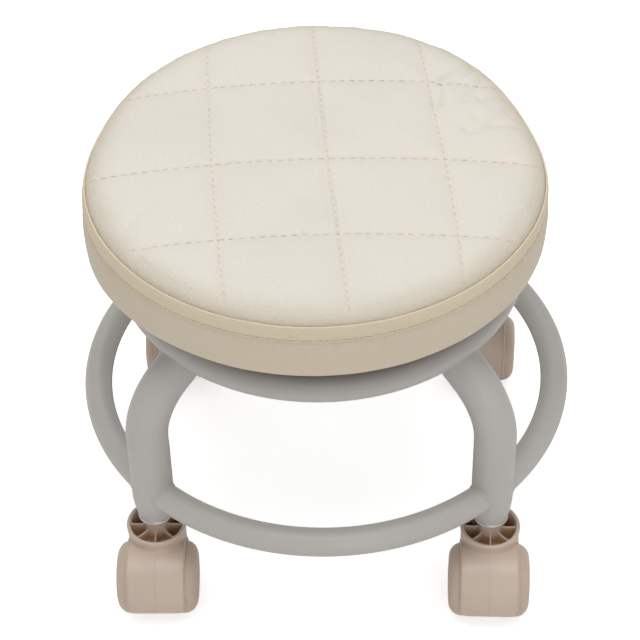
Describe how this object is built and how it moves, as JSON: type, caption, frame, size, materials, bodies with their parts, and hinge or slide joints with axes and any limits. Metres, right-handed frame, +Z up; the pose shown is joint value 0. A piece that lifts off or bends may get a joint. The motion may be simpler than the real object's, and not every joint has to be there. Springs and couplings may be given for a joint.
{
  "type": "rolling stylist stool",
  "caption": "Low round padded stool on bent tube legs with a foot ring and swivelling twin-wheel casters.",
  "frame": {"origin": "on the floor, under the centre of the foot ring", "axes": "+Z up, -Y towards the front of the stool, legs on the diagonals; all the casters trail towards the front at rest"},
  "size_m": [0.341, 0.341, 0.2916],
  "materials": {
    "seat_leather": "cream artificial leather, quilted, fine grain",
    "band_leather": "cream artificial leather, plain, slightly yellower than the top",
    "foam": "soft open-cell foam",
    "plywood": "raw birch plywood",
    "dust_cloth": "black non-woven cloth",
    "zinc_steel": "bright zinc plate",
    "frame_paint": "warm light grey powder coat, satin",
    "caster_plastic": "beige moulded nylon, satin",
    "wheel_plastic": "beige moulded nylon, satin"
  },
  "bodies": {
    "root": {"top_panel": "seat_leather", "side_band": "band_leather", "seat_piping": "band_leather", "foam_pad": "foam", "seat_board": "plywood", "dust_cover": "dust_cloth", "cover_staples": "zinc_steel", "tee_nuts": "zinc_steel", "seat_screws": "zinc_steel", "screw_washers": "zinc_steel", "seat_plate": "frame_paint", "upper_ring": "frame_paint", "leg_front_left": "frame_paint", "leg_front_right": "frame_paint", "leg_rear_right": "frame_paint", "leg_rear_left": "frame_paint", "foot_ring_front": "frame_paint", "foot_ring_right": "frame_paint", "foot_ring_rear": "frame_paint", "foot_ring_left": "frame_paint", "leg_plug_front_left": "zinc_steel", "stem_front_left": "zinc_steel", "grip_ring_front_left": "zinc_steel", "leg_plug_front_right": "zinc_steel", "stem_front_right": "zinc_steel", "grip_ring_front_right": "zinc_steel", "leg_plug_rear_right": "zinc_steel", "stem_rear_right": "zinc_steel", "grip_ring_rear_right": "zinc_steel", "leg_plug_rear_left": "zinc_steel", "stem_rear_left": "zinc_steel", "grip_ring_rear_left": "zinc_steel"},
    "caster_front_left": {"caster_body_front_left": "caster_plastic", "axle_front_left": "zinc_steel"},
    "wheel_left_front_left": {"wheel_left_front_left": "wheel_plastic"},
    "wheel_right_front_left": {"wheel_right_front_left": "wheel_plastic"},
    "caster_front_right": {"caster_body_front_right": "caster_plastic", "axle_front_right": "zinc_steel"},
    "wheel_left_front_right": {"wheel_left_front_right": "wheel_plastic"},
    "wheel_right_front_right": {"wheel_right_front_right": "wheel_plastic"},
    "caster_rear_right": {"caster_body_rear_right": "caster_plastic", "axle_rear_right": "zinc_steel"},
    "wheel_left_rear_right": {"wheel_left_rear_right": "wheel_plastic"},
    "wheel_right_rear_right": {"wheel_right_rear_right": "wheel_plastic"},
    "caster_rear_left": {"caster_body_rear_left": "caster_plastic", "axle_rear_left": "zinc_steel"},
    "wheel_left_rear_left": {"wheel_left_rear_left": "wheel_plastic"},
    "wheel_right_rear_left": {"wheel_right_rear_left": "wheel_plastic"}
  },
  "joints": [
    {"name": "swivel_front_left", "type": "hinge", "parent": "root", "child": "caster_front_left", "pos_m": [-0.11384, -0.11384, 0.056], "axis": [0, 0, 1], "continuous": true},
    {"name": "roll_left_front_left", "type": "hinge", "parent": "caster_front_left", "child": "wheel_left_front_left", "pos_m": [-0.11352, -0.13234, 0.025], "axis": [0.9998, 0.0175, 0], "continuous": true},
    {"name": "roll_right_front_left", "type": "hinge", "parent": "caster_front_left", "child": "wheel_right_front_left", "pos_m": [-0.11352, -0.13234, 0.025], "axis": [0.9998, 0.0175, 0], "continuous": true},
    {"name": "swivel_front_right", "type": "hinge", "parent": "root", "child": "caster_front_right", "pos_m": [0.11384, -0.11384, 0.056], "axis": [0, 0, 1], "continuous": true},
    {"name": "roll_left_front_right", "type": "hinge", "parent": "caster_front_right", "child": "wheel_left_front_right", "pos_m": [0.11352, -0.13234, 0.025], "axis": [0.9998, -0.0175, 0], "continuous": true},
    {"name": "roll_right_front_right", "type": "hinge", "parent": "caster_front_right", "child": "wheel_right_front_right", "pos_m": [0.11352, -0.13234, 0.025], "axis": [0.9998, -0.0175, 0], "continuous": true},
    {"name": "swivel_rear_right", "type": "hinge", "parent": "root", "child": "caster_rear_right", "pos_m": [0.11384, 0.11384, 0.056], "axis": [0, 0, 1], "continuous": true},
    {"name": "roll_left_rear_right", "type": "hinge", "parent": "caster_rear_right", "child": "wheel_left_rear_right", "pos_m": [0.11288, 0.09537, 0.025], "axis": [0.9986, -0.0523, 0], "continuous": true},
    {"name": "roll_right_rear_right", "type": "hinge", "parent": "caster_rear_right", "child": "wheel_right_rear_right", "pos_m": [0.11288, 0.09537, 0.025], "axis": [0.9986, -0.0523, 0], "continuous": true},
    {"name": "swivel_rear_left", "type": "hinge", "parent": "root", "child": "caster_rear_left", "pos_m": [-0.11384, 0.11384, 0.056], "axis": [0, 0, 1], "continuous": true},
    {"name": "roll_left_rear_left", "type": "hinge", "parent": "caster_rear_left", "child": "wheel_left_rear_left", "pos_m": [-0.1132, 0.09535, 0.025], "axis": [0.9994, 0.0349, 0], "continuous": true},
    {"name": "roll_right_rear_left", "type": "hinge", "parent": "caster_rear_left", "child": "wheel_right_rear_left", "pos_m": [-0.1132, 0.09535, 0.025], "axis": [0.9994, 0.0349, 0], "continuous": true}
  ]
}
